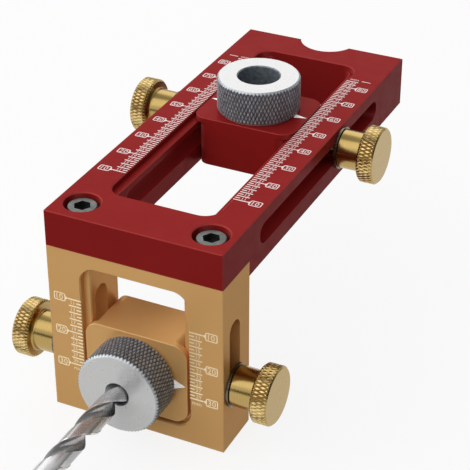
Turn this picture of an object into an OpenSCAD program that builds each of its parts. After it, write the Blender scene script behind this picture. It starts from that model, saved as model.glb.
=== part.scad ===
// Drill guide for the end and the face of a board.
// A plate lies on the board's face and a block hangs in front of the board's end.
// Each has a stepped window with a slider in it, and each slider carries a drill bush.
// Origin: the corner where the board's face meets its end, midway across the guide.
// +X is across the board, +Y along it and away from the end block, +Z up. Sizes in mm.

/* [Plate and block] */
// Width of the plate and of the end block
body_w = 49; // [47:0.5:60]
// Length of the plate with the part that covers the block
plate_l = 119.5; // [116:0.5:150]
// Thickness of the plate behind the block
plate_t = 14.4; // [13.5:0.1:18]
// Depth of the rebate under the plate's front end that the block seats in
seat_step = 4.4; // [3.5:0.1:5.5]
// Thickness of the end block
block_d = 15; // [14:0.1:18]
// Depth of the block below the board's face
block_drop = 44.5; // [42:0.5:60]
// Flat cut off the outer edges
edge_chamfer = 0.2; // [0.1:0.05:0.8]

/* [Windows] */
// Width of the windows at the faces that carry the scales
window_w = 30.2; // [29:0.1:32]
// Corner radius of the windows at those faces
window_corner_r = 4.5; // [4:0.1:6]
// Width of the ledge along each long side
ledge_w = 2; // [1.5:0.1:2.5]
// Depth of the ledges below the face
ledge_depth = 1.7; // [1.2:0.1:2.5]
// Flat cut off the windows' rims and the ledges' edges
rim_chamfer = 0.3; // [0.1:0.05:0.5]
// Length of plate left behind its window
rear_bar = 11.2; // [10:0.1:20]
// Distance from the board's end forward to the plate window's front wall
plate_window_lead = 0.6; // [0:0.1:1]
// Height of block left below its window
lower_bar = 4.6; // [3:0.1:8]
// Distance from the board's face up to the block window's top wall
block_window_lead = 0.3; // [0:0.1:1]

/* [Side slots] */
// Width of the slots in the side walls
slot_w = 5.8; // [5.6:0.1:7]
// Distance from the face that carries the scale in to a slot's centre line
slot_drop = 6.5; // [6:0.1:7.5]
// Distance from the board's end to the front ends of the plate's slots
plate_slot_start = 5.9; // [5:0.1:8]
// Length of plate left behind its slots
slot_rear_bar = 20.5; // [15:0.1:30]
// Distance from the board's face down to the upper ends of the block's slots
block_slot_start = 8; // [7:0.1:9]
// Height of block left below its slots
slot_lower_bar = 12.9; // [10:0.1:14]

/* [Rear notch] */
// Radius of the sighting notch in the plate's rear edge
notch_r = 8.2; // [6:0.1:10]
// Distance from the rear edge back to the notch's centre
notch_setback = 2.7; // [2:0.1:4]

/* [Sliders] */
// Length of a slider along its travel
slider_l = 23.6; // [23.4:0.1:28]
// Corner radius of the sliders' flanges
slider_corner_r = 4; // [3:0.1:4.5]
// Corner radius of the sliders' bodies below the flange
slider_body_r = 3; // [2:0.1:4]
// Flat cut off the upper rims of the sliders' flanges
slider_rim = 0.15; // [0.1:0.05:0.5]
// Side play of the plate slider's flange in its window, on each side
plate_flange_play = 0.4; // [0.2:0.05:0.8]
// Side play of the block slider's flange in its window, on each side
block_flange_play = 0.7; // [0.2:0.05:0.8]
// Side play of both sliders' bodies between the ledges, on each side
body_play = 0.2; // [0.1:0.05:0.4]
// Gap between a flange and its ledges
flange_lift = 0.1; // [0.05:0.05:0.2]
// Gap between a slider and the board
board_gap = 0.4; // [0.2:0.1:0.8]
// Distance from the board's end to the middle of the plate slider as it stands
plate_slider_dist = 57.6; // [20:0.1:75]
// Distance from the board's face down to the middle of the block slider as it stands
block_slider_dist = 27.2; // [14:0.1:27.4]

/* [Drill bushes] */
// Diameter of the knurled heads
bush_head_d = 22.8; // [21:0.1:23]
// Height of the knurled heads
bush_head_h = 10; // [7:0.1:14]
// Flat cut off the heads' outer rims
bush_rim = 0.3; // [0.2:0.05:0.6]
// Flat cut off the heads' edges next to the slider
bush_foot = 0.8; // [0.4:0.05:1.2]
// Diameter of the threads that screw into the sliders
bush_thread_d = 16; // [14.5:0.1:17]
// Bore of the plate's bush
plate_bore_d = 11.5; // [8:0.1:12.5]
// Bore of the block's bush
block_bore_d = 6.1; // [5:0.1:10]
// Flat cut off the bores' mouths
bore_chamfer = 0.3; // [0.1:0.05:0.5]

/* [Thumb screws] */
// Diameter of the knurled heads
knob_d = 15.6; // [13:0.1:18]
// Thickness of the knurled heads
knob_t = 4.6; // [3:0.1:7]
// Flat cut off the heads' rims
knob_rim = 0.5; // [0.2:0.05:0.8]
// Diameter of the plain necks
neck_d = 10.7; // [7:0.1:11]
// Length of the plain necks
neck_l = 6.5; // [3:0.1:10]
// Diameter of the studs
stud_d = 5; // [4:0.1:5.2]
// Gap between a stud's end and the bush's thread
stud_gap = 0.7; // [0.4:0.1:1.5]
// Diameter of the washers
washer_d = 11.6; // [11:0.1:13]
// Thickness of the washers
washer_t = 0.8; // [0.6:0.1:1.5]
// Radial play of the studs in the washers
washer_play = 0.15; // [0.1:0.05:0.3]

/* [Cap screws] */
// Diameter of the heads
cap_head_d = 8; // [7.5:0.1:8.5]
// Height of the heads
cap_head_h = 5; // [4:0.1:5.5]
// Size of the hexagon sockets across their flats
cap_socket_af = 4; // [3:0.1:4.5]
// Depth of the hexagon sockets
cap_socket_depth = 2.6; // [2:0.1:3]
// Diameter of the threads
cap_thread_d = 5; // [4:0.1:5.5]
// Length of the screws below their heads
cap_l = 12; // [8:0.5:14]
// Distance from the side faces in to the screws
cap_inset_x = 6.7; // [5.5:0.1:7]
// Distance from the front face in to the screws
cap_inset_y = 7.5; // [6:0.1:8]
// Diameter of the counterbores
counterbore_d = 9.5; // [9:0.1:10]
// Depth of the heads below the plate's face
cap_sink = 1; // [0.2:0.1:1.5]

/* [Drill bit] */
// Diameter of the drill bit
bit_d = 6; // [4.9:0.1:9.9]
// Overall length of the drill bit
bit_l = 93; // [80:1:140]
// Length of the fluted part with the point
flute_l = 57; // [45:1:75]
// Distance from the board's end forward to the bit's point
bit_setback = 1; // [0:0.5:5]
// Angle of the point
point_angle = 118; // [90:1:135]
// Angle between the flutes and the bit's axis
helix_angle = 25; // [20:1:40]

/* [Hidden] */
$fn = 96;

// Overrun of every cut past the face that it opens through
over = 1;
// Radial clearance of a thread in its tapped hole
thread_play = 0.05;
// Flat cut off the ends of studs, screws and bushes
thread_lead = 0.5;
// Depth of the tapped holes past the screws' ends
tap_run = 1.2;
// Room between a screw's shank and its hole in the plate
shank_play = 0.25;
// Flat cut off the edge of a cap screw's head
cap_rim = 0.4;
// Amount by which the drill bit's margins are thinner than its shank
back_taper = 0.02;
// Length over which the flutes run out into the shank
flute_run_out = 1;

// Sizes that follow from the ones above
half_w = body_w / 2;
plate_front = -block_d;
plate_rear = plate_l - block_d;
plate_window_l = plate_rear - rear_bar + plate_window_lead;
block_window_l = block_drop - lower_bar + block_window_lead;
plate_slot_l = plate_rear - slot_rear_bar - plate_slot_start;
block_slot_l = block_drop - slot_lower_bar - block_slot_start;
lower_window_w = window_w - 2 * ledge_w;
lower_window_r = window_corner_r - ledge_w;
plate_window_mid = plate_window_l / 2 - plate_window_lead;
block_window_mid = block_window_lead - block_window_l / 2;
plate_slot_mid = plate_slot_start + plate_slot_l / 2;
block_slot_mid = -block_slot_start - block_slot_l / 2;
slider_body_w = lower_window_w - 2 * body_play;
flange_t = ledge_depth - flange_lift;
cap_x = half_w - cap_inset_x;
cap_y = plate_front + cap_inset_y;
cap_seat_z = plate_t - cap_sink - cap_head_h;
stud_reach = half_w - bush_thread_d / 2 - stud_gap;
knob_seat = washer_t + neck_l;

// Shares of the drill bit's diameter that make up its section
web_share = 0.17;
flute_r_share = 0.34;
// Width of the land behind a margin, and the depth that it lies below the margin
relief_w_share = 0.5;
relief_depth_share = 0.03;

module at_plate_face() {
    translate([0, 0, plate_t]) children();
}

module at_block_face() {
    translate([0, plate_front, 0]) rotate([90, 0, 0]) children();
}

module on_left() {
    mirror([1, 0, 0]) children();
}

// Corner points of a rectangle with its corners cut off by c
function cut_corners(x0, y0, x1, y1, c) = [
    [x0 + c, y0], [x1 - c, y0], [x1, y0 + c], [x1, y1 - c],
    [x1 - c, y1], [x0 + c, y1], [x0, y1 - c], [x0, y0 + c]
];

module rounded_rect(w, l, r) {
    square([w - 2 * r, l], center = true);
    square([w, l - 2 * r], center = true);
    for (sx = [-1, 1], sy = [-1, 1])
        translate([sx * (w / 2 - r), sy * (l / 2 - r)]) circle(r);
}

// Rounded slab below local Z zero, with its upper rim cut off by c
module chamfered_slab(w, l, r, t, c) {
    rotate([90, 0, 90])
        linear_extrude(w - 2 * r, center = true)
            polygon([[-l / 2, -t], [l / 2, -t], [l / 2, -c], [l / 2 - c, 0], [c - l / 2, 0], [-l / 2, -c]]);
    rotate([90, 0, 0])
        linear_extrude(l - 2 * r, center = true)
            polygon([[-w / 2, -t], [w / 2, -t], [w / 2, -c], [w / 2 - c, 0], [c - w / 2, 0], [-w / 2, -c]]);
    for (sx = [-1, 1], sy = [-1, 1])
        translate([sx * (w / 2 - r), sy * (l / 2 - r), 0])
            rotate_extrude()
                polygon([[0, -t], [r, -t], [r, -c], [r - c, 0], [0, 0]]);
}

// Rounded rectangle whose walls lean out by c over the height h
module leaning_prism(w, l, r, h, c) {
    rotate([90, 0, 90])
        linear_extrude(w - 2 * r, center = true)
            polygon([[-l / 2, 0], [l / 2, 0], [l / 2 + c, h], [-l / 2 - c, h]]);
    rotate([90, 0, 0])
        linear_extrude(l - 2 * r, center = true)
            polygon([[-w / 2, 0], [w / 2, 0], [w / 2 + c, h], [-w / 2 - c, h]]);
    for (sx = [-1, 1], sy = [-1, 1])
        translate([sx * (w / 2 - r), sy * (l / 2 - r), 0])
            cylinder(h = h, r1 = r, r2 = r + c);
}

// Obround hole through both side walls, its length along local Y
module side_slots(l) {
    for (end = [-1, 1])
        translate([0, end * (l - slot_w) / 2, -slot_drop])
            rotate([0, 90, 0])
                cylinder(h = body_w + 2 * over, d = slot_w, center = true);
    translate([0, 0, -slot_drop])
        cube([body_w + 2 * over, l - slot_w, slot_w], center = true);
}

// Stepped window cut from the face at local Z zero down through the given depth
module stepped_window(l, depth) {
    translate([0, 0, -ledge_depth])
        linear_extrude(ledge_depth + over) rounded_rect(window_w, l, window_corner_r);
    translate([0, 0, -depth - over])
        linear_extrude(depth + 2 * over) rounded_rect(lower_window_w, l, lower_window_r);
    translate([0, 0, -rim_chamfer])
        leaning_prism(window_w, l, window_corner_r, rim_chamfer + over, rim_chamfer + over);
    translate([0, 0, -ledge_depth - rim_chamfer])
        leaning_prism(lower_window_w, l - 2 * rim_chamfer, lower_window_r, rim_chamfer, rim_chamfer);
}

module plate_blank() {
    c = edge_chamfer;
    intersection() {
        rotate([90, 0, 90])
            linear_extrude(body_w, center = true)
                polygon([
                    [plate_front, seat_step],
                    [0, seat_step],
                    [0, 0],
                    [plate_rear - c, 0],
                    [plate_rear, c],
                    [plate_rear, plate_t - c],
                    [plate_rear - c, plate_t],
                    [plate_front + c, plate_t],
                    [plate_front, plate_t - c]
                ]);
        rotate([90, 0, 0])
            translate([0, 0, -plate_rear])
                linear_extrude(plate_l) polygon(cut_corners(-half_w, 0, half_w, plate_t, c));
        linear_extrude(plate_t) polygon(cut_corners(-half_w, plate_front, half_w, plate_rear, c));
    }
}

module cap_screw_holes() {
    rim_h = rim_chamfer + over;
    for (side = [-1, 1])
        translate([side * cap_x, cap_y, 0]) {
            translate([0, 0, cap_seat_z]) cylinder(h = plate_t, d = counterbore_d);
            cylinder(h = plate_t, d = cap_thread_d + 2 * shank_play);
            translate([0, 0, plate_t - rim_chamfer])
                cylinder(h = rim_h, d1 = counterbore_d, d2 = counterbore_d + 2 * rim_h);
        }
}

module base_plate() {
    color([0.62, 0.13, 0.13])
        difference() {
            plate_blank();
            at_plate_face() {
                translate([0, plate_window_mid, 0]) stepped_window(plate_window_l, plate_t);
                translate([0, plate_slot_mid, 0]) side_slots(plate_slot_l);
            }
            cap_screw_holes();
            translate([0, plate_rear + notch_setback, -over])
                cylinder(h = plate_t + 2 * over, r = notch_r);
        }
}

module block_blank() {
    c = edge_chamfer;
    block_h = block_drop + seat_step;
    intersection() {
        rotate([90, 0, 90])
            linear_extrude(body_w, center = true)
                polygon([
                    [plate_front + c, -block_drop],
                    [-c, -block_drop],
                    [0, c - block_drop],
                    [0, seat_step],
                    [plate_front, seat_step],
                    [plate_front, c - block_drop]
                ]);
        rotate([90, 0, 0])
            linear_extrude(block_d) polygon(cut_corners(-half_w, -block_drop, half_w, seat_step + c, c));
        translate([0, 0, -block_drop])
            linear_extrude(block_h) polygon(cut_corners(-half_w, plate_front, half_w, 0, c));
    }
}

module end_block() {
    color([0.76, 0.59, 0.38])
        difference() {
            block_blank();
            at_block_face() {
                translate([0, block_window_mid, 0]) stepped_window(block_window_l, block_d);
                translate([0, block_slot_mid, 0]) side_slots(block_slot_l);
            }
            for (side = [-1, 1])
                translate([side * cap_x, cap_y, cap_seat_z - cap_l - tap_run])
                    cylinder(h = cap_l + tap_run, d = cap_thread_d + 2 * thread_play);
        }
}

module cap_screw() {
    socket_d = cap_socket_af / cos(30);
    color([0.42, 0.43, 0.44])
        difference() {
            rotate_extrude()
                polygon([
                    [0, -cap_l],
                    [cap_thread_d / 2 - thread_lead, -cap_l],
                    [cap_thread_d / 2, thread_lead - cap_l],
                    [cap_thread_d / 2, 0],
                    [cap_head_d / 2, 0],
                    [cap_head_d / 2, cap_head_h - cap_rim],
                    [cap_head_d / 2 - cap_rim, cap_head_h],
                    [0, cap_head_h]
                ]);
            translate([0, 0, cap_head_h - cap_socket_depth])
                cylinder(h = cap_socket_depth + over, d = socket_d, $fn = 6);
        }
}

// Slider with its face at local Z zero and its travel along local Y
module slider(depth, flange_play) {
    flange_w = window_w - 2 * flange_play;
    body_h = depth - board_gap - flange_t / 2;
    difference() {
        union() {
            chamfered_slab(flange_w, slider_l, slider_corner_r, flange_t, slider_rim);
            translate([0, 0, board_gap - depth])
                linear_extrude(body_h) rounded_rect(slider_body_w, slider_l, slider_body_r);
        }
        translate([0, 0, -depth])
            cylinder(h = depth + over, d = bush_thread_d + 2 * thread_play);
        translate([0, 0, -slot_drop])
            rotate([0, 90, 0])
                cylinder(h = slider_body_w + 2 * over, d = stud_d + 2 * thread_play, center = true);
    }
}

module plate_slider() {
    color([0.62, 0.13, 0.13])
        at_plate_face()
            translate([0, plate_slider_dist, 0]) slider(plate_t, plate_flange_play);
}

module block_slider() {
    color([0.76, 0.59, 0.38])
        at_block_face()
            translate([0, -block_slider_dist, 0]) slider(block_d, block_flange_play);
}

// Bush with its head's underside at local Z zero and its thread below
module drill_bush(depth, bore_d) {
    thread_l = depth - board_gap;
    thread_r = bush_thread_d / 2;
    head_r = bush_head_d / 2;
    bore_r = bore_d / 2;
    color([0.78, 0.79, 0.79])
        rotate_extrude()
            polygon([
                [bore_r + bore_chamfer, -thread_l],
                [thread_r - thread_lead, -thread_l],
                [thread_r, thread_lead - thread_l],
                [thread_r, 0],
                [head_r - bush_foot, 0],
                [head_r, bush_foot],
                [head_r, bush_head_h - bush_rim],
                [head_r - bush_rim, bush_head_h],
                [bore_r + bore_chamfer, bush_head_h],
                [bore_r, bush_head_h - bore_chamfer],
                [bore_r, bore_chamfer - thread_l]
            ]);
}

module plate_drill_bush() {
    at_plate_face()
        translate([0, plate_slider_dist, 0]) drill_bush(plate_t, plate_bore_d);
}

module block_drill_bush() {
    at_block_face()
        translate([0, -block_slider_dist, 0]) drill_bush(block_d, block_bore_d);
}

// Places a washer or screw, drawn along local Z, on the right side wall
module on_side_wall(reading) {
    translate([half_w, reading, -slot_drop]) rotate([0, 90, 0]) children();
}

module washer() {
    color([0.7, 0.7, 0.68])
        difference() {
            cylinder(h = washer_t, d = washer_d);
            translate([0, 0, -over])
                cylinder(h = washer_t + 2 * over, d = stud_d + 2 * washer_play);
        }
}

// Thumb screw with the wall's outer face at local Z zero and its stud below
module thumb_screw() {
    knob_r = knob_d / 2;
    stud_r = stud_d / 2;
    color([0.79, 0.68, 0.42])
        rotate_extrude()
            polygon([
                [0, -stud_reach],
                [stud_r - thread_lead, -stud_reach],
                [stud_r, thread_lead - stud_reach],
                [stud_r, washer_t],
                [neck_d / 2, washer_t],
                [neck_d / 2, knob_seat],
                [knob_r - knob_rim, knob_seat],
                [knob_r, knob_seat + knob_rim],
                [knob_r, knob_seat + knob_t - knob_rim],
                [knob_r - knob_rim, knob_seat + knob_t],
                [0, knob_seat + knob_t]
            ]);
}

module plate_right_washer() {
    at_plate_face() on_side_wall(plate_slider_dist) washer();
}

module plate_left_washer() {
    on_left() plate_right_washer();
}

module plate_right_thumb_screw() {
    at_plate_face() on_side_wall(plate_slider_dist) thumb_screw();
}

module plate_left_thumb_screw() {
    on_left() plate_right_thumb_screw();
}

module block_right_washer() {
    at_block_face() on_side_wall(-block_slider_dist) washer();
}

module block_left_washer() {
    on_left() block_right_washer();
}

module block_right_thumb_screw() {
    at_block_face() on_side_wall(-block_slider_dist) thumb_screw();
}

module block_left_thumb_screw() {
    on_left() block_right_thumb_screw();
}

// Section of the fluted part: two flutes, and two lands that each step down behind a margin
module flute_section() {
    margin_r = bit_d / 2 - back_taper;
    relief_r = margin_r - relief_depth_share * bit_d;
    relief_w = relief_w_share * bit_d;
    flute_r = flute_r_share * bit_d;
    difference() {
        circle(margin_r, $fn = 24);
        for (turn = [0, 180]) rotate(turn) {
            translate([web_share * bit_d / 2 + flute_r, 0]) circle(flute_r, $fn = 16);
            difference() {
                square([relief_w, bit_d]);
                circle(relief_r, $fn = 24);
            }
        }
    }
}

module drill_bit() {
    r = bit_d / 2;
    lead = PI * bit_d / tan(helix_angle);
    twist_turn = -360 * flute_l / lead;
    point_l = bit_d / tan(point_angle / 2);
    tip_z = bit_setback - block_d;
    shank_z = flute_l - flute_run_out;
    color([0.55, 0.55, 0.56])
        at_block_face()
            translate([0, -block_slider_dist, tip_z]) {
                intersection() {
                    linear_extrude(flute_l, twist = twist_turn, slices = 28, segments = 1) flute_section();
                    union() {
                        cylinder(h = point_l, r1 = 0, r2 = bit_d);
                        translate([0, 0, point_l]) cylinder(h = flute_l, r = bit_d);
                    }
                }
                translate([0, 0, shank_z]) cylinder(h = bit_l - shank_z, r = r);
            }
}

base_plate();
end_block();
translate([-cap_x, cap_y, cap_seat_z]) cap_screw();  // left_cap_screw
translate([cap_x, cap_y, cap_seat_z]) cap_screw();  // right_cap_screw
plate_slider();
plate_drill_bush();
plate_left_washer();
plate_right_washer();
plate_left_thumb_screw();
plate_right_thumb_screw();
block_slider();
block_drill_bush();
block_left_washer();
block_right_washer();
block_left_thumb_screw();
block_right_thumb_screw();
drill_bit();
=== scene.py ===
import math
import bmesh
import bpy
from mathutils import Matrix, Vector


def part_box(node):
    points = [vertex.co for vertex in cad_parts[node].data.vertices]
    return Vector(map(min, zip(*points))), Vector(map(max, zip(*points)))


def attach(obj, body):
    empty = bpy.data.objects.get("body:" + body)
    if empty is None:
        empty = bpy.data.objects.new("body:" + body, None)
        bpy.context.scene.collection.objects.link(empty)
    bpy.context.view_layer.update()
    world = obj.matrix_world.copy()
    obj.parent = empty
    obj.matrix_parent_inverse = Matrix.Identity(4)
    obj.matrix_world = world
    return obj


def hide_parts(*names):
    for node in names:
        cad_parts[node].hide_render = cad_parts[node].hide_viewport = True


# Drill guide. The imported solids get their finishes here, and finer pieces stand for the bushes, the thumb
# screws and the bit. Lengths are in millimetres, those of the floor, the lamps and the clipping in metres.
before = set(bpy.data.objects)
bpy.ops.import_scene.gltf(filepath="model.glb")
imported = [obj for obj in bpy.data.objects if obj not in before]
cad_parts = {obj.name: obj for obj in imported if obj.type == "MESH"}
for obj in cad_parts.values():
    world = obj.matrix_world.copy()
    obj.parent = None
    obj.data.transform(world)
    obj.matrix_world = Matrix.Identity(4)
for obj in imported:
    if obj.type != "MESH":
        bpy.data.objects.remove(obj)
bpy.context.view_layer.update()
mm = 0.001


def millimetres(node):
    low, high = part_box(node)
    return low / mm, high / mm


plateHigh = millimetres("base_plate")[1]
blockLow = millimetres("end_block")[0]
plateSliderLow, plateSliderHigh = millimetres("plate_slider")
blockSliderLow, blockSliderHigh = millimetres("block_slider")
plateReading = (plateSliderLow.y + plateSliderHigh.y) / 2
blockReading = (blockSliderLow.z + blockSliderHigh.z) / 2
plateTop = plateHigh.z
blockFront = blockLow.y

# Places for pieces that are drawn along their own Z
facingFront = Matrix.Rotation(math.radians(90), 4, "X")
onPlate = Matrix.Translation((0, plateReading, plateTop))
onBlock = Matrix.Translation((0, blockFront, blockReading)) @ facingFront


# Finishes

white = (1, 1, 1, 1)
bumpDepth = 0.01
plainNoise, fineNoise, richNoise = 2, 3, 4  # how many layers of detail a noise has


class Wiring:  # a material or the world, with the few node links that most of them share
    def __init__(self, owner, shader="Principled BSDF"):
        owner.use_nodes = True
        self.owner = owner
        self.tree = owner.node_tree
        self.shader = self.tree.nodes[shader]

    def link(self, source, target):  # the source is another node's output or a plain value
        if isinstance(source, bpy.types.NodeSocket):
            self.tree.links.new(source, target)
        else:
            target.default_value = source

    def feed(self, name, source):  # to the shader
        self.link(source, self.shader.inputs[name])

    def node(self, kind, values=None, **settings):
        made = self.tree.nodes.new(kind)
        for key, value in settings.items():
            setattr(made, key, value)
        for key, value in (values or {}).items():
            self.link(value, made.inputs[key])
        return made

    def combine(self, operation, *sources):  # one sum on outputs or plain values
        return self.node("ShaderNodeMath", dict(enumerate(sources)), operation=operation).outputs[0]

    def attribute(self, name):
        return self.node("ShaderNodeAttribute", attribute_name=name).outputs["Fac"]

    def noise(self, scale, detail, stretch=None):
        place = self.node("ShaderNodeTexCoord").outputs["Object"]
        if stretch:
            place = self.node("ShaderNodeMapping", {"Vector": place, "Scale": stretch}).outputs["Vector"]
        values = {"Vector": place, "Scale": scale, "Detail": detail}
        return self.node("ShaderNodeTexNoise", values).outputs["Fac"]

    def turnedLines(self, perMillimetre):
        along = self.combine("MULTIPLY", self.attribute("lay"), perMillimetre)
        values = {"W": along, "Scale": 1, "Detail": 1}
        return self.node("ShaderNodeTexNoise", values, noise_dimensions="1D").outputs["Fac"]

    def spread(self, source, low, high, start=0.3, end=0.7):  # start to end becomes low to high
        values = {"Value": source, "From Min": start, "From Max": end, "To Min": low, "To Max": high}
        return self.node("ShaderNodeMapRange", values).outputs["Result"]

    def blend(self, factor, first, second):  # inputs 6 and 7 are the colours, and output 2 is their blend
        made = self.node("ShaderNodeMix", {"Factor": factor}, data_type="RGBA")
        for slot, value in ((6, first), (7, second)):
            self.link((*value, 1) if isinstance(value, tuple) else value, made.inputs[slot])
        return made.outputs[2]

    def bump(self, height, strength, before=None):  # before is a bump that this one lies on
        values = {"Height": height, "Strength": strength, "Distance": bumpDepth * mm}
        if before:
            values["Normal"] = before
        return self.node("ShaderNodeBump", values).outputs["Normal"]

    def squareFaces(self, start, end):  # 1 on faces that are square to an axis, 0 on cut corners
        normal = self.node("ShaderNodeNewGeometry").outputs["True Normal"]
        parts = self.node("ShaderNodeSeparateXYZ", {"Vector": normal})
        x, y, z = (self.combine("ABSOLUTE", part) for part in parts.outputs)
        largest = self.combine("MAXIMUM", self.combine("MAXIMUM", x, y), z)
        return self.spread(largest, 0, 1, start, end)


def anodised(name, look):
    w = Wiring(bpy.data.materials.new(name))
    w.feed("Metallic", look["metallic"])
    w.feed("Specular IOR Level", look["specular"])
    w.feed("Specular Tint", (*look["glance"], 1))
    patches = w.spread(w.noise(look["patchScale"], richNoise), 0, 1)
    grain = w.spread(w.noise(look["grainScale"], plainNoise), 0, look["grainShare"])
    tone = w.blend(grain, w.blend(patches, look["deep"], look["colour"]), look["pale"])
    # Cut corners take the lighter edge colour: a painted highlight along the chamfers.
    w.feed("Base Color", w.blend(w.squareFaces(*look["edgeHighlightRange"]), look["edge"], tone))
    w.feed("Roughness", w.spread(w.noise(look["roughScale"], fineNoise), *look["roughness"]))
    milled = w.bump(w.noise(look["millScale"], plainNoise, look["millStretch"]), look["millStrength"])
    w.feed("Normal", w.bump(w.noise(look["grainScale"], fineNoise), look["blastStrength"], milled))
    return w.owner


redAnodised = anodised("red anodised", {
    "colour": (0.34, 0.018, 0.017),
    "deep": (0.30, 0.014, 0.014),
    "pale": (0.40, 0.03, 0.03),
    # edge: the chamfers' colour, a painted highlight
    "edge": (0.46, 0.06, 0.055),
    "edgeHighlightRange": (0.74, 0.97),
    "glance": (1.0, 0.30, 0.27),
    "metallic": 0.1,
    "specular": 0.03,
    "roughness": (0.34, 0.44),
    "roughScale": 315,
    "patchScale": 45,
    "grainScale": 9000,
    "grainShare": 0.35,
    "millScale": 2500,
    "millStretch": (1.0, 0.05, 1.0),
    "millStrength": 0.10,
    "blastStrength": 0.25,
})

goldAnodised = anodised("gold anodised", {
    "colour": (0.85, 0.485, 0.185),
    "deep": (0.80, 0.45, 0.165),
    "pale": (0.91, 0.54, 0.22),
    # edge: the chamfers' colour, a faint painted highlight
    "edge": (0.86, 0.51, 0.21),
    "edgeHighlightRange": (0.74, 0.97),
    "glance": (1.0, 0.62, 0.30),
    "metallic": 0.25,
    "specular": 0.05,
    "roughness": (0.30, 0.38),
    "roughScale": 315,
    "patchScale": 45,
    "grainScale": 9000,
    "grainShare": 0.35,
    "millScale": 2500,
    "millStretch": (1.0, 1.0, 0.05),
    "millStrength": 0.10,
    "blastStrength": 0.25,
})

# Each vertex of a turned piece has a crest, from 0 in a groove over plain faces to 1 on polished metal.
# Besides the gloss, it sets painted light: low crests take painted shade, high crests a painted highlight.
plainCrest = 0.5
peakStart = 0.35


def turnedMetal(name, look):
    w = Wiring(bpy.data.materials.new(name))
    w.feed("Metallic", look["metallic"])
    crest = w.attribute("crest")
    lines = w.turnedLines(look["linesPerMm"])
    patches = w.spread(w.noise(look["patchScale"], richNoise), 0, look["patchShare"])
    tone = w.blend(w.spread(lines, 0, 1), look["deep"], look["colour"])
    tone = w.blend(patches, tone, look["stain"])
    # Crests below the plain level take the peak colour; the bush's bluish peak is a painted cool reflection
    # on its knurl.
    tone = w.blend(w.spread(crest, 0, 1, peakStart, plainCrest), look["peak"], tone)
    # Low crests, lifted at random by a noise, take the groove colour: painted shade in grooves, bores,
    # thread roots and under heads, with painted glints where the noise lifts it.
    worn = w.combine("MULTIPLY", crest, w.spread(w.noise(look["wearScale"], plainNoise), *look["wearAndGlint"]))
    tone = w.blend(w.spread(worn, 0, 1, 0, plainCrest), look["grooveShade"], tone)
    # Crests above the plain level take the bright colour: a painted highlight on polished parts, knurl
    # flats and margins.
    w.feed("Base Color", w.blend(w.spread(crest, 0, 1, plainCrest, 1), tone, look["bright"]))
    rough = w.spread(w.noise(look["roughScale"], fineNoise), *look["roughness"])
    gloss = w.spread(crest, 0, 1, *look["gloss"])
    level = w.node("ShaderNodeMix", {"Factor": gloss, "A": rough, "B": look["polish"]})
    w.feed("Roughness", level.outputs["Result"])
    turned = w.bump(lines, look["lineStrength"])
    w.feed("Normal", w.bump(w.noise(look["grainScale"], plainNoise), look["grainStrength"], turned))
    return w.owner


brass = turnedMetal("turned brass", {
    "colour": (0.47, 0.325, 0.105),
    "deep": (0.43, 0.29, 0.09),
    "stain": (0.40, 0.27, 0.085),
    "grooveShade": (0.34, 0.23, 0.10),
    "peak": (0.47, 0.325, 0.105),
    "bright": (0.68, 0.52, 0.26),
    "wearAndGlint": (1.0, 1.4),
    "wearScale": 900,
    "metallic": 1.0,
    "linesPerMm": 2.5,
    "lineStrength": 0.15,
    "patchScale": 120,
    "patchShare": 0.25,
    "roughness": (0.26, 0.34),
    "roughScale": 600,
    "polish": 0.17,
    "gloss": (0.45, 0.6),
    "grainScale": 7000,
    "grainStrength": 0.015,
})

bushSteel = turnedMetal("turned bush steel", {
    "colour": (0.80, 0.80, 0.79),
    "deep": (0.75, 0.75, 0.745),
    "stain": (0.70, 0.705, 0.71),
    "grooveShade": (0.06, 0.078, 0.098),
    # peak: bluish, a painted cool reflection on the knurl's flats
    "peak": (0.66, 0.72, 0.78),
    "bright": (0.88, 0.88, 0.88),
    "wearAndGlint": (1.0, 2.6),
    "wearScale": 1100,
    "metallic": 0.3,
    "linesPerMm": 2.5,
    "lineStrength": 0.12,
    "patchScale": 90,
    "patchShare": 0.2,
    "roughness": (0.26, 0.36),
    "roughScale": 450,
    "polish": 0.2,
    "gloss": (0.5, 1),
    "grainScale": 7000,
    "grainStrength": 0.01,
})

bitSteel = turnedMetal("ground bit steel", {
    "colour": (0.62, 0.62, 0.625),
    "deep": (0.55, 0.55, 0.555),
    "stain": (0.46, 0.46, 0.46),
    "grooveShade": (0.045, 0.045, 0.045),
    "peak": (0.60, 0.60, 0.60),
    "bright": (0.92, 0.92, 0.92),
    "wearAndGlint": (1.0, 1.3),
    "wearScale": 1500,
    "metallic": 0.6,
    "linesPerMm": 4.0,
    "lineStrength": 0.25,
    "patchScale": 420,
    "patchShare": 0.4,
    "roughness": (0.18, 0.30),
    "roughScale": 2100,
    "polish": 0.13,
    "gloss": (0.5, 1),
    "grainScale": 7000,
    "grainStrength": 0.05,
})


def plainMetal(name, look):
    w = Wiring(bpy.data.materials.new(name))
    w.feed("Metallic", look["metallic"])
    patches = w.spread(w.noise(look["patchScale"], richNoise), 0, 1)
    w.feed("Base Color", w.blend(patches, look["deep"], look["colour"]))
    w.feed("Roughness", w.spread(w.noise(look["roughScale"], fineNoise), *look["roughness"]))
    w.feed("Normal", w.bump(w.noise(look["grainScale"], fineNoise), look["grainStrength"]))
    return w.owner


# The washers' dark brown colour is painted shade and dark reflection, much darker than the bare metal.
washerSteel = plainMetal("polished washer", {
    "colour": (0.20, 0.17, 0.13),
    "deep": (0.14, 0.12, 0.09),
    "metallic": 1.0,
    "patchScale": 500,
    "roughness": (0.20, 0.34),
    "roughScale": 2000,
    "grainScale": 5000,
    "grainStrength": 0.12,
})

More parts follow.
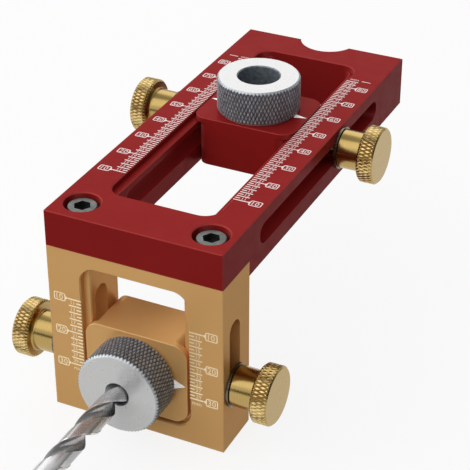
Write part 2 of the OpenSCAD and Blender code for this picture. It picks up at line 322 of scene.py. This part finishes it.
screwSteel = plainMetal("plated screw", {
    "colour": (0.20, 0.21, 0.20),
    "deep": (0.10, 0.105, 0.10),
    "metallic": 1.0,
    "patchScale": 420,
    "roughness": (0.34, 0.48),
    "roughScale": 1680,
    "grainScale": 4000,
    "grainStrength": 0.2,
})

inkSurface = {
    "roughness": (0.35, 0.5),
    "grainScale": 9000,
    "grainStrength": 0.3,
}


def scaleInk(name, look):
    w = Wiring(bpy.data.materials.new(name))
    # Emission here is painted light, used only on the pointers.
    w.feed("Emission Color", white)
    w.feed("Emission Strength", look["paintedGlow"])
    w.feed("Metallic", look["metallic"])
    worn = w.spread(w.noise(look["wearScale"], fineNoise), 0, 1)
    w.feed("Base Color", w.blend(worn, look["worn"], look["colour"]))
    w.feed("Roughness", w.spread(w.noise(look["roughScale"], plainNoise), *inkSurface["roughness"]))
    w.feed("Normal", w.bump(w.noise(inkSurface["grainScale"], plainNoise), inkSurface["grainStrength"]))
    return w.owner


plateInk = scaleInk("scale ink on red", {
    "colour": (0.98, 0.84, 0.82),
    "worn": (0.95, 0.74, 0.72),
    "metallic": 0.3,
    "paintedGlow": 0.0,
    "wearScale": 2500,
    "roughScale": 5000,
})
blockInk = scaleInk("scale ink on gold", {
    "colour": (1.0, 0.86, 0.58),
    "worn": (1.0, 0.80, 0.50),
    "metallic": 0.85,
    "paintedGlow": 0.0,
    "wearScale": 2500,
    "roughScale": 5000,
})
# The pointers' ink glows a little: painted light that lifts them out of the bushes' shadow.
pointerInk = scaleInk("pointer ink", {
    "colour": (1.0, 0.98, 0.97),
    "worn": (0.98, 0.94, 0.93),
    "metallic": 0.35,
    "paintedGlow": 0.25,
    "wearScale": 1500,
    "roughScale": 3000,
})
print("finishes made")


# Mesh helpers, in millimetres until addPiece turns a shape into an object

cutReach = 1e-6  # how near a cut counts as through a vertex
rimReach = 1e-4  # how near an edge counts as on a rim
weldReach = 2e-4  # how near two vertices become one
centreRadius = 0.02  # the small ring that a round face ends in before it is closed


def newShape():
    bm = bmesh.new()
    bm.verts.layers.float.new("crest")
    bm.verts.layers.float.new("lay")
    return bm


def newVert(bm, place, crest=plainCrest, lay=0.0):  # lay is how far along the turning lines it is
    made = bm.verts.new(place)
    made[bm.verts.layers.float["crest"]] = crest
    made[bm.verts.layers.float["lay"]] = lay
    return made


def addPiece(bm, name, place, material, body):
    bm.transform(Matrix.Scale(mm, 4) @ place)
    mesh = bpy.data.meshes.new(name)
    bm.to_mesh(mesh)
    bm.free()
    mesh.materials.append(material)
    piece = bpy.data.objects.new(name, mesh)
    bpy.context.scene.collection.objects.link(piece)
    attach(piece, body)
    return piece


# Stands for a node, on the body that has the node's name
def addTurned(bm, name, place, material, node, sharpAngle=30):
    bmesh.ops.recalc_face_normals(bm, faces=bm.faces)
    piece = addPiece(bm, name, place, material, node)
    piece.data.shade_smooth()
    piece.data.set_sharp_from_angle(angle=math.radians(sharpAngle))
    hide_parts(node)


def around(radius, turn, height):  # a point on a ring about Z
    return radius * math.cos(turn), radius * math.sin(turn), height


def rimAt(bm, height):  # the open edges at a height
    return [e for e in bm.edges if e.is_boundary and all(abs(v.co.z - height) < rimReach for v in e.verts)]


def skinRings(bm, rings):  # a wall from ring to ring, and a face over the first
    for under, over in zip(rings, rings[1:]):
        for i in range(len(under)):
            j = (i + 1) % len(under)
            bm.faces.new((under[i], under[j], over[j], over[i]))
    bm.faces.new(list(reversed(rings[0])))


def growRings(bm, edges, profile):  # carries a rim on through rings of (radius, height, crest)
    crestLayer = bm.verts.layers.float["crest"]
    layLayer = bm.verts.layers.float["lay"]
    start = edges[0].verts[0].co
    before = (math.hypot(start.x, start.y), start.z)
    lay = 0.0
    for radius, height, crest in profile:
        lay += math.hypot(radius - before[0], height - before[1])
        before = (radius, height)
        made = bmesh.ops.extrude_edge_only(bm, edges=edges)["geom"]
        fresh = {item for item in made if isinstance(item, bmesh.types.BMVert)}
        edges = [item for item in made if isinstance(item, bmesh.types.BMEdge) and set(item.verts) <= fresh]
        for vert in fresh:
            vert.co = around(radius, math.atan2(vert.co.y, vert.co.x), height)
            vert[crestLayer] = crest
            vert[layLayer] = lay
    return edges


def addKnurl(bm, spec, radius, low, high):  # diamonds round a head, running out in its two chamfers
    depth = spec["knurlDepth"]
    top = spec["knurlTop"]
    width = 2 * math.pi * radius / spec["knurlCount"]
    height = width * spec["knurlSlender"]
    flat = bmesh.new()

    def cell(u, z):
        reach = ((-width / 2, 0), (0, -height / 2), (width / 2, 0), (0, height / 2))
        outer = [flat.verts.new((u + du, -depth, z + dz)) for du, dz in reach]
        inner = [flat.verts.new((u + du * top, 0, z + dz * top)) for du, dz in reach]
        for i in range(4):
            flat.faces.new((outer[i], outer[(i + 1) % 4], inner[(i + 1) % 4], inner[i]))
        flat.faces.new(inner)

    rows = math.ceil((high - low) / (height / 2)) + 2
    for row in range(-1, rows):
        for column in range(spec["knurlCount"]):
            cell((column + (row % 2) / 2) * width, low + row * height / 2)
    for place in (low, low + spec["foot"], high - spec["rim"], high):
        everything = list(flat.verts) + list(flat.edges) + list(flat.faces)
        bmesh.ops.bisect_plane(
            flat, geom=everything, dist=cutReach, plane_co=(0, 0, place), plane_no=(0, 0, 1),
            clear_inner=place == low, clear_outer=place == high,
        )
    made = {}
    for vert in flat.verts:
        u, dip, z = vert.co
        limit = radius - max(0, spec["foot"] - (z - low), spec["rim"] - (high - z))
        cut = radius + dip > limit + cutReach
        crest = plainCrest if cut else spec["knurlShine"] * (1 + dip / depth)
        made[vert] = newVert(bm, around(min(radius + dip, limit), u / radius, z), crest, z)
    for face in flat.faces:
        bm.faces.new([made[vert] for vert in face.verts])
    flat.free()
    bmesh.ops.remove_doubles(bm, verts=list(bm.verts), dist=weldReach)
    return rimAt(bm, low), rimAt(bm, high)


# Drill bushes

bush = {
    "headHeight": 10.0,
    "rim": 0.55,  # chamfer at the top of the knurl
    "rimStep": 0.02,  # from the chamfer to the flat face
    "foot": 0.8,  # chamfer at its bottom
    "boreCut": 0.3,
    "boreLip": 0.01,  # from the bright face to the bore, which is darkened with painted shade
    "boreWaist": 0.001,
    "waistDepth": 0.2,
    # lip, mouth and bore crests are low: painted shade in the bore
    "lipCrest": 0.12,
    "mouthCrest": 0.08,
    "boreCrest": 0.07,
    "threadDiameter": 16.0,
    "threadCut": 0.5,
    "threadGap": 0.3,  # from the thread's last ring to the head
    "knurlCount": 70,
    "knurlDepth": 0.22,
    "knurlSlender": 2.3,  # a diamond's height over its width
    "knurlTop": 0.3,  # share of a diamond that is flat
    "knurlShine": 0.18,  # crest of that flat; this low one paints the flats darker, as painted shade
}

bushes = {
    # The plate bush's face crest of 0.75 gives it part of the painted highlight colour.
    "plate_drill_bush": {"place": onPlate, "axis": "z", "boreRadius": 5.75, "faceCrest": 0.75},
    "block_drill_bush": {"place": onBlock, "axis": "y", "boreRadius": 3.05, "faceCrest": 0.5},
}


def makeBush(node, place, axis, boreRadius, faceCrest):
    low, high = millimetres(node)
    radius = (high.x - low.x) / 2
    top = bush["headHeight"]
    depth = getattr(high, axis) - getattr(low, axis) - top
    cut = bush["boreCut"]
    lip = bush["boreLip"]
    threadRadius = bush["threadDiameter"] / 2
    bm = newShape()
    foot, crown = addKnurl(bm, bush, radius, 0, top)
    threadEnd = growRings(bm, crown, [
        (radius - bush["rim"] - bush["rimStep"], top, faceCrest),
        (boreRadius + cut, top, faceCrest),
        (boreRadius + cut - lip, top - lip, bush["lipCrest"]),
        (boreRadius, top - cut, bush["mouthCrest"]),
        (boreRadius - bush["boreWaist"], top - cut - bush["waistDepth"], bush["boreCrest"]),
        (boreRadius, cut - depth, bush["boreCrest"]),
        (boreRadius + cut, -depth, plainCrest),
        (threadRadius - bush["threadCut"], -depth, plainCrest),
        (threadRadius, bush["threadCut"] - depth, plainCrest),
        (threadRadius, -bush["threadGap"], plainCrest),
    ])
    footEnd = growRings(bm, foot, [(threadRadius, 0, plainCrest)])
    bmesh.ops.bridge_loops(bm, edges=threadEnd + footEnd)
    addTurned(bm, node + "_turned", place, bushSteel, node)


for node, fit in bushes.items():
    makeBush(node, **fit)
print("bushes knurled")


# Thumb screws

thumbScrew = {
    "headRadius": 7.8,
    "headThickness": 4.6,
    "rim": 0.5,
    "rimStep": 0.02,
    "foot": 0.5,
    "faceRings": (0.6, 0.3),  # shares of the head's radius
    "knurlCount": 50,
    "knurlDepth": 0.24,
    "knurlSlender": 2.9,
    "knurlTop": 0.45,
    # knurlShine: the flats take the full painted highlight colour
    "knurlShine": 1.0,
    "underFillet": 0.7,
    "filletCrests": (0.15, 0.2, 0.26, 0.32, 0.4, 0.5, 0.56),  # from the head in to the neck, painted shade under the head that lightens towards the neck
    "neckRadius": 5.35,
    "neckCut": 0.25,
    # neckCrest: a little painted highlight on the neck
    "neckCrest": 0.56,
    # cutCrest and seatCrest darken the neck's cut and seat with painted shade
    "cutCrest": 0.4,
    "seatCrest": 0.3,
    "washer": 0.8,  # thickness
    "studRadius": 2.5,
    "studRecess": 0.3,
    "studLead": 0.5,  # chamfer at its inner end
    "studSteps": 32,  # round the stud
    "pitch": 0.8,
    "threadDepth": 0.42,
    "threadFlank": 1.3,  # above 1 it leaves a flat root
    # threadShade: how far the thread's roots are darkened, as painted shade
    "threadShade": 0.3,
    "threadSteps": 6,  # along one turn
}


def addThread(bm, spec, low, high):
    radius = spec["studRadius"]
    depth = spec["threadDepth"]
    lead = spec["studLead"]
    steps = spec["studSteps"]
    count = math.ceil((high - low) / spec["pitch"] * spec["threadSteps"])
    rings = []
    for j in range(count + 1):
        height = low + (high - low) * j / count
        limit = radius - lead + lead * min(1.0, (height - low) / lead)
        ring = []
        for i in range(steps):
            wave = ((height - low) / spec["pitch"] - i / steps) % 1.0
            dip = depth * min(1.0, abs(2 * wave - 1) * spec["threadFlank"])
            place = around(min(radius - dip, limit), 2 * math.pi * i / steps, height)
            ring.append(newVert(bm, place, plainCrest - dip / depth * spec["threadShade"], height))
        rings.append(ring)
    skinRings(bm, rings)
    last = rings[-1]
    return [bm.edges.get((last[i], last[(i + 1) % steps])) for i in range(steps)]


def makeThumbScrew(node, side):
    spec = thumbScrew
    low, high = millimetres(node)
    wall = plateHigh.x
    inner = min(abs(low.x), abs(high.x))
    outer = max(abs(low.x), abs(high.x))
    top = outer - wall
    seat = top - spec["headThickness"]
    radius = spec["headRadius"]
    centre = Vector((side * wall, (low.y + high.y) / 2, (low.z + high.z) / 2))
    place = Matrix.Translation(centre) @ Matrix.Rotation(math.radians(90 * side), 4, "Y")
    bm = newShape()
    under, face = addKnurl(bm, spec, radius, seat, top)
    middle = growRings(bm, face, [
        (radius - spec["rim"] - spec["rimStep"], top, plainCrest),
        *((radius * share, top, plainCrest) for share in spec["faceRings"]),
        (centreRadius, top, plainCrest),
    ])
    bmesh.ops.edgeloop_fill(bm, edges=middle)
    neck = spec["neckRadius"]
    fillet = spec["underFillet"]
    rounded = []
    for step, crest in enumerate(spec["filletCrests"]):
        t = math.radians(90 * step / (len(spec["filletCrests"]) - 1))
        rounded.append((neck + fillet * (1 - math.sin(t)), seat - fillet * (1 - math.cos(t)), crest))
    neckEnd = growRings(bm, under, rounded + [
        (neck, spec["washer"] + spec["neckCut"], spec["neckCrest"]),
        (neck - spec["neckCut"], spec["washer"], spec["cutCrest"]),
        (spec["studRadius"] - spec["studRecess"], spec["washer"], spec["seatCrest"]),
    ])
    studEnd = addThread(bm, spec, inner - wall, spec["washer"])
    bmesh.ops.bridge_loops(bm, edges=neckEnd + studEnd)
    addTurned(bm, node + "_knurled", place, brass, node)


for level in ("plate", "block"):
    for word, side in (("left", -1), ("right", 1)):
        makeThumbScrew(f"{level}_{word}_thumb_screw", side)
print("thumb screws knurled")


# Drill bit

bit = {
    "radius": 3.0,
    "fluted": 57.0,
    "runOut": 7.0,
    # runOutCrest: where the flutes run out, mostly painted highlight
    "runOutCrest": 0.8,
    "webShare": 0.085,  # half the web's thickness, as a share of the diameter
    "fluteShare": 0.34,  # a flute's radius, as a share of it
    "fluteSteps": 16,
    "fluteCrest": 0.03,  # at the heel, where the flute is darkest with painted shade
    "fluteRise": 0.6,  # from there to the cutting edge
    "marginWidth": 0.55,
    # marginCrest: the margins take the full painted highlight colour
    "marginCrest": 1.0,
    "landStep": 0.16,
    "landGap": 0.02,  # radians
    "landSteps": 9,
    "pointAngle": 118,
    "pointRadius": 0.004,
    "pointRings": 14,
    "pointSpacing": 0.15,
    "helixAngle": 33,
    "stepsPerMm": 2.5,
    "shankCut": 0.4,
    "sharpAngle": 35,
}


def bitSection():  # points of (x, y, crest) round the bit: two margins, lands and flutes
    radius = bit["radius"]
    fluteRadius = bit["fluteShare"] * 2 * radius
    centre = bit["webShare"] * 2 * radius + fluteRadius
    meet = math.acos((centre ** 2 + radius ** 2 - fluteRadius ** 2) / (2 * centre * radius))
    margin = bit["marginWidth"] / radius
    turns = (meet, meet + margin * 0.5, meet + margin)
    half = [(radius * math.cos(t), radius * math.sin(t), bit["marginCrest"]) for t in turns]
    landRadius = radius - bit["landStep"]
    landStart = meet + margin + bit["landGap"]
    for i in range(bit["landSteps"] + 1):
        t = landStart + (math.pi - meet - landStart) * i / bit["landSteps"]
        half.append((landRadius * math.cos(t), landRadius * math.sin(t), plainCrest))
    sweep = math.pi - math.atan2(radius * math.sin(meet), radius * math.cos(meet) - centre)
    for i in range(1, bit["fluteSteps"]):
        t = sweep - 2 * sweep * i / bit["fluteSteps"]
        crest = bit["fluteCrest"] + bit["fluteRise"] * i / bit["fluteSteps"]
        half.append((-centre + fluteRadius * math.cos(t), fluteRadius * math.sin(t), crest))
    return half + [(-x, -y, crest) for x, y, crest in half]


def makeDrillBit():
    low, high = millimetres("drill_bit")
    length = high.y - low.y
    radius = bit["radius"]
    fluted = bit["fluted"]
    place = Matrix.Translation((0, high.y, blockReading)) @ facingFront
    lead = 2 * math.pi * radius / math.tan(math.radians(bit["helixAngle"]))
    slope = math.tan(math.radians(bit["pointAngle"] / 2))
    point = [i * bit["pointSpacing"] for i in range(bit["pointRings"])]
    count = int(fluted * bit["stepsPerMm"])
    section = bitSection()
    bm = newShape()
    rings = []
    for height in point + [point[-1] + (fluted - point[-1]) * i / count for i in range(1, count + 1)]:
        fade = max(0.0, (height - fluted + bit["runOut"]) / bit["runOut"])
        fade = fade * fade * (3 - 2 * fade)  # smooth at both ends
        ring = []
        for x, y, crest in section:
            r = math.hypot(x, y)
            r = r + (radius - r) * fade
            r = min(r, max(bit["pointRadius"], height * slope))
            t = math.atan2(y, x) + 2 * math.pi * height / lead
            crest += (bit["runOutCrest"] - crest) * fade
            ring.append(newVert(bm, around(r, t, height), crest, height))
        rings.append(ring)
    skinRings(bm, rings)
    cut = bit["shankCut"]
    middle = growRings(bm, rimAt(bm, fluted), [
        (radius, length - cut, plainCrest),
        (radius - cut, length, plainCrest),
        (centreRadius, length, plainCrest),
    ])
    bmesh.ops.edgeloop_fill(bm, edges=middle)
    addTurned(bm, "drill_bit_ground", place, bitSteel, "drill_bit", bit["sharpAngle"])


makeDrillBit()
print("drill bit ground")


# Scales, numbers and pointers

marks = {
    "lift": 0.02,  # above the metal
    "window": 15.2,  # where the lines start
    "line": 0.38,
    "shortEnd": 16.6,
    "longEnd": 18.75,
    "tenEnd": 19.0,
    "tagStart": 19.65,
    "tagEnd": 23.0,
    "tagHeight": 2.5,
    "tagCorner": 0.5,
    "tagCornerSteps": 3,
    "tagLine": 0.28,
    "tagNumber": 2.4,
    "tip": 0.75,
    "tipHalfWidth": 0.5625,
    "tipOverlap": 0.02,
    "smallNumber": 1.55,
    "smallCentre": 17.65,
}

numberShapes = {}


def numberShape(text):  # flat outline of a number, centred, one unit high
    if text not in numberShapes:
        curve = bpy.data.curves.new("number", "FONT")
        curve.body = text
        curve.align_x = "CENTER"
        curve.align_y = "CENTER"
        curve.resolution_u = 2
        holder = bpy.data.objects.new("number", curve)
        bpy.context.scene.collection.objects.link(holder)
        graph = bpy.context.evaluated_depsgraph_get()
        mesh = bpy.data.meshes.new_from_object(holder.evaluated_get(graph))
        xs = [v.co.x for v in mesh.vertices]
        ys = [v.co.y for v in mesh.vertices]
        middle = ((min(xs) + max(xs)) / 2, (min(ys) + max(ys)) / 2)
        points = [(v.co.x - middle[0], v.co.y - middle[1]) for v in mesh.vertices]
        numberShapes[text] = (points, [tuple(p.vertices) for p in mesh.polygons])
        bpy.data.objects.remove(holder)
        bpy.data.meshes.remove(mesh)
        bpy.data.curves.remove(curve)
    return numberShapes[text]


def addNumber(bm, text, across, along, size):
    points, faces = numberShape(text)
    made = [newVert(bm, (across + x * size, along + y * size, 0)) for x, y in points]
    for face in faces:
        bm.faces.new([made[i] for i in face])


def addPatch(bm, points):
    bm.faces.new([newVert(bm, (x, y, 0)) for x, y in points])


def addBar(bm, x0, x1, y, width):
    addPatch(bm, [(x0, y - width / 2), (x1, y - width / 2), (x1, y + width / 2), (x0, y + width / 2)])


def addTag(bm, side, along, text):  # a number in a rounded frame, with a tip towards its line
    start, end, tip = marks["tagStart"], marks["tagEnd"], marks["tip"]
    centre = side * (start + end) / 2
    loops = []
    for inset in (0, marks["tagLine"]):
        halfW = (end - start) / 2 - inset
        halfH = marks["tagHeight"] / 2 - inset
        corner = marks["tagCorner"] - inset
        loop = []
        for sx, sy, first in ((1, 1, 0), (-1, 1, 90), (-1, -1, 180), (1, -1, 270)):
            for step in range(marks["tagCornerSteps"] + 1):
                t = math.radians(first + 90 * step / marks["tagCornerSteps"])
                x = centre + sx * (halfW - corner) + corner * math.cos(t)
                loop.append(newVert(bm, (x, along + sy * (halfH - corner) + corner * math.sin(t), 0)))
        loops.append(loop)
    outer, inner = loops
    for i in range(len(outer)):
        j = (i + 1) % len(outer)
        bm.faces.new((outer[i], outer[j], inner[j], inner[i]))
    addPatch(bm, [
        (side * (start - tip), along),
        (side * (start + marks["tipOverlap"]), along - marks["tipHalfWidth"]),
        (side * (start + marks["tipOverlap"]), along + marks["tipHalfWidth"]),
    ])
    addNumber(bm, text, centre, along, marks["tagNumber"])


# Even lines are long, odd lines are short with a number beside them, and tens have a tag
def addReading(bm, side, along, reading):
    if reading % 10 == 0:
        end = marks["tenEnd"]
        addTag(bm, side, along, str(reading))
    elif reading % 2 == 0:
        end = marks["longEnd"]
    else:
        end = marks["shortEnd"]
        addNumber(bm, str(reading), side * marks["smallCentre"], along, marks["smallNumber"])
    addBar(bm, side * marks["window"], side * end, along, marks["line"])


def addMarks(bm, name, place, ink, body):  # flat marks, all turned up
    for face in bm.faces:
        face.normal_update()
        if face.normal.z < 0:
            face.normal_flip()
    addPiece(bm, name, place, ink, body)


plateScale = {
    "readings": range(10, 85),
    "sense": 1,
    "unitPlace": (17.2, 85.3),
    "unitSize": 1.7,
    "unitBars": [(19.4, 22.0, 85.2, 0.3)],  # start and end across, place along, width
}

blockScale = {
    "readings": range(10, 31),
    "sense": -1,
    "unitPlace": (17.1, 31.4),
    "unitSize": 1.75,
    "unitBars": [],
}


def makeScale(name, place, ink, scale):
    bm = newShape()
    across, along = scale["unitPlace"]
    for side in (-1, 1):
        for reading in scale["readings"]:
            addReading(bm, side, scale["sense"] * reading, reading)
        addNumber(bm, "mm", side * across, scale["sense"] * along, scale["unitSize"])
        for start, end, height, width in scale["unitBars"]:
            addBar(bm, side * start, side * end, scale["sense"] * height, width)
    addMarks(bm, name, place, ink, "guide")


pointers = {
    "length": 3.4,
    "edge": 0.4,
    "plateWidth": 2.0,
    "blockWidth": 2.9,
}


def makePointers(name, place, halfWidth, width, body):
    bm = newShape()
    tip = halfWidth - pointers["edge"]
    foot = tip - pointers["length"]
    for side in (-1, 1):
        addPatch(bm, [(side * tip, 0), (side * foot, width / 2), (side * foot, -width / 2)])
    addMarks(bm, name, place @ Matrix.Translation((0, 0, marks["lift"])), pointerInk, body)


onTop = Matrix.Translation((0, 0, plateTop + marks["lift"]))
onFront = Matrix.Translation((0, blockFront - marks["lift"], 0)) @ facingFront
makeScale("plate_scale", onTop, plateInk, plateScale)
makeScale("block_scale", onFront, blockInk, blockScale)
makePointers("plate_pointers", onPlate, plateSliderHigh.x, pointers["plateWidth"], "plate_slider")
makePointers("block_pointers", onBlock, blockSliderHigh.x, pointers["blockWidth"], "block_slider")
print("scales marked")


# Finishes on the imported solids

solidFinishes = {
    "base_plate": redAnodised,
    "plate_slider": redAnodised,
    "end_block": goldAnodised,
    "block_slider": goldAnodised,
    "left_cap_screw": screwSteel,
    "right_cap_screw": screwSteel,
    "plate_left_washer": washerSteel,
    "plate_right_washer": washerSteel,
    "block_left_washer": washerSteel,
    "block_right_washer": washerSteel,
}
for node, material in solidFinishes.items():
    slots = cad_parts[node].data.materials
    slots.clear()
    slots.append(material)
print("solids finished")


# Floor, light and camera

studio = {
    "floorSize": 12.0,
    "floorDrop": 0.0002,
    "floorColour": (0.15, 0.15, 0.149),
    "floorPatch": (0.158, 0.158, 0.157),
    "floorPatchScale": 3,
    "floorRoughness": 0.9,
    "floorSpecular": 0.1,
    "floorGlow": 0.85,
    "frontSky": ((0.0, 0.05), (0.45, 0.06), (0.60, 0.65), (0.85, 0.65), (0.93, 0.40)),
    "rightSky": ((0.0, 0.05), (0.45, 0.12), (0.80, 0.16), (0.93, 0.40)),
    "rightAim": (1, 0, 0),
    "rightTurn": (0.2, 0.6),
    "backSky": ((0.0, 0.30), (0.12, 0.35), (0.30, 0.90), (0.80, 0.90), (0.90, 0.45), (1.0, 0.40)),
    "backAim": (-0.6, 0.8, 0),
    "backTurn": (-0.1, 0.45),
    "lampAim": (0, 0.02, -0.01),
}


def seenRays(w):  # 1 for what the camera, metal and glass show
    path = w.node("ShaderNodeLightPath")
    seen = path.outputs["Is Camera Ray"]
    for ray in ("Is Glossy Ray", "Is Transmission Ray"):
        seen = w.combine("MAXIMUM", seen, path.outputs[ray])
    return seen


def makeFloor():
    half = studio["floorSize"] / 2
    bm = bmesh.new()
    bm.faces.new([bm.verts.new((x * half, y * half, 0)) for x, y in ((-1, -1), (1, -1), (1, 1), (-1, 1))])
    mesh = bpy.data.meshes.new("floor")
    bm.to_mesh(mesh)
    bm.free()
    floor = bpy.data.objects.new("floor", mesh)
    floor.location.z = blockLow.z * mm - studio["floorDrop"]
    bpy.context.scene.collection.objects.link(floor)
    w = Wiring(bpy.data.materials.new("pale floor"))
    patches = w.spread(w.noise(studio["floorPatchScale"], fineNoise), 0, 1)
    w.feed("Base Color", w.blend(patches, studio["floorColour"], studio["floorPatch"]))
    w.feed("Roughness", studio["floorRoughness"])
    w.feed("Specular IOR Level", studio["floorSpecular"])
    w.feed("Emission Color", white)
    w.feed("Emission Strength", w.spread(seenRays(w), 0, studio["floorGlow"], 0, 1))
    mesh.materials.append(w.owner)


def makeWorld():  # bright behind and to the left, dim on the right, dark in front below a band of light
    w = Wiring(bpy.data.worlds.new("studio"), "Background")
    bpy.context.scene.world = w.owner
    direction = w.node("ShaderNodeTexCoord").outputs["Generated"]
    parts = w.node("ShaderNodeSeparateXYZ", {"Vector": direction})

    def sky(stops):  # grey levels, from the horizon at 0 to straight up at 1
        ramp = w.node("ShaderNodeValToRGB", {"Fac": parts.outputs["Z"]})
        elements = ramp.color_ramp.elements
        while len(elements) < len(stops):
            elements.new(0.5)
        for element, (place, level) in zip(elements, stops):
            element.position = place
            element.color = (level, level, level, 1)
        return ramp.outputs["Color"]

    def turnTo(aim, turn, first, second):  # from first to second as the direction nears the aim
        toward = w.node("ShaderNodeVectorMath", {0: direction, 1: aim}, operation="DOT_PRODUCT")
        return w.blend(w.spread(toward.outputs["Value"], 0, 1, *turn), first, second)

    front, right, back = (sky(studio[stops]) for stops in ("frontSky", "rightSky", "backSky"))
    beside = turnTo(studio["rightAim"], studio["rightTurn"], front, right)
    w.feed("Color", turnTo(studio["backAim"], studio["backTurn"], beside, back))


lamps = {
    "key": {"place": (-0.42, -0.70, 0.72), "size": 1.30, "power": 4.3},
    "fill": {"place": (0.10, -1.00, 0.45), "size": 0.90, "power": 1.3},
    "back": {"place": (-0.45, 0.80, 0.62), "size": 0.70, "power": 1.0},
    "side": {"place": (-1.0, -0.30, 0.30), "size": 0.50, "power": 1.5},
}


def makeLamps():
    aim = Vector(studio["lampAim"])
    for name, lamp in lamps.items():
        light = bpy.data.lights.new(name, "AREA")
        light.shape = "SQUARE"
        light.size = lamp["size"]
        light.energy = lamp["power"]
        holder = bpy.data.objects.new(name, light)
        holder.location = lamp["place"]
        holder.rotation_euler = (aim - holder.location).to_track_quat("-Z", "Y").to_euler()
        bpy.context.scene.collection.objects.link(holder)


camera = {
    "place": (163.6083, -298.3877, 212.8701),
    "azimuth": 25.628,
    "elevation": 31.4097,
    "focalPixels": 1597.5,
    "imagePixels": 470,
    "sensor": 36.0,
    "clipStart": 0.01,
    "clipEnd": 20,
}


def makeCamera():
    data = bpy.data.cameras.new("camera")
    data.sensor_width = camera["sensor"]
    data.lens = camera["sensor"] * camera["focalPixels"] / camera["imagePixels"]
    data.clip_start = camera["clipStart"]
    data.clip_end = camera["clipEnd"]
    holder = bpy.data.objects.new("camera", data)
    a = math.radians(camera["azimuth"])
    e = math.radians(camera["elevation"])
    back = Vector((math.sin(a) * math.cos(e), -math.cos(a) * math.cos(e), math.sin(e)))
    holder.location = Vector(camera["place"]) * mm
    holder.rotation_euler = (-back).to_track_quat("-Z", "Y").to_euler()
    bpy.context.scene.collection.objects.link(holder)
    bpy.context.scene.camera = holder


makeFloor()
makeWorld()
makeLamps()
makeCamera()
bpy.context.scene.view_settings.view_transform = "Standard"
print("studio set")
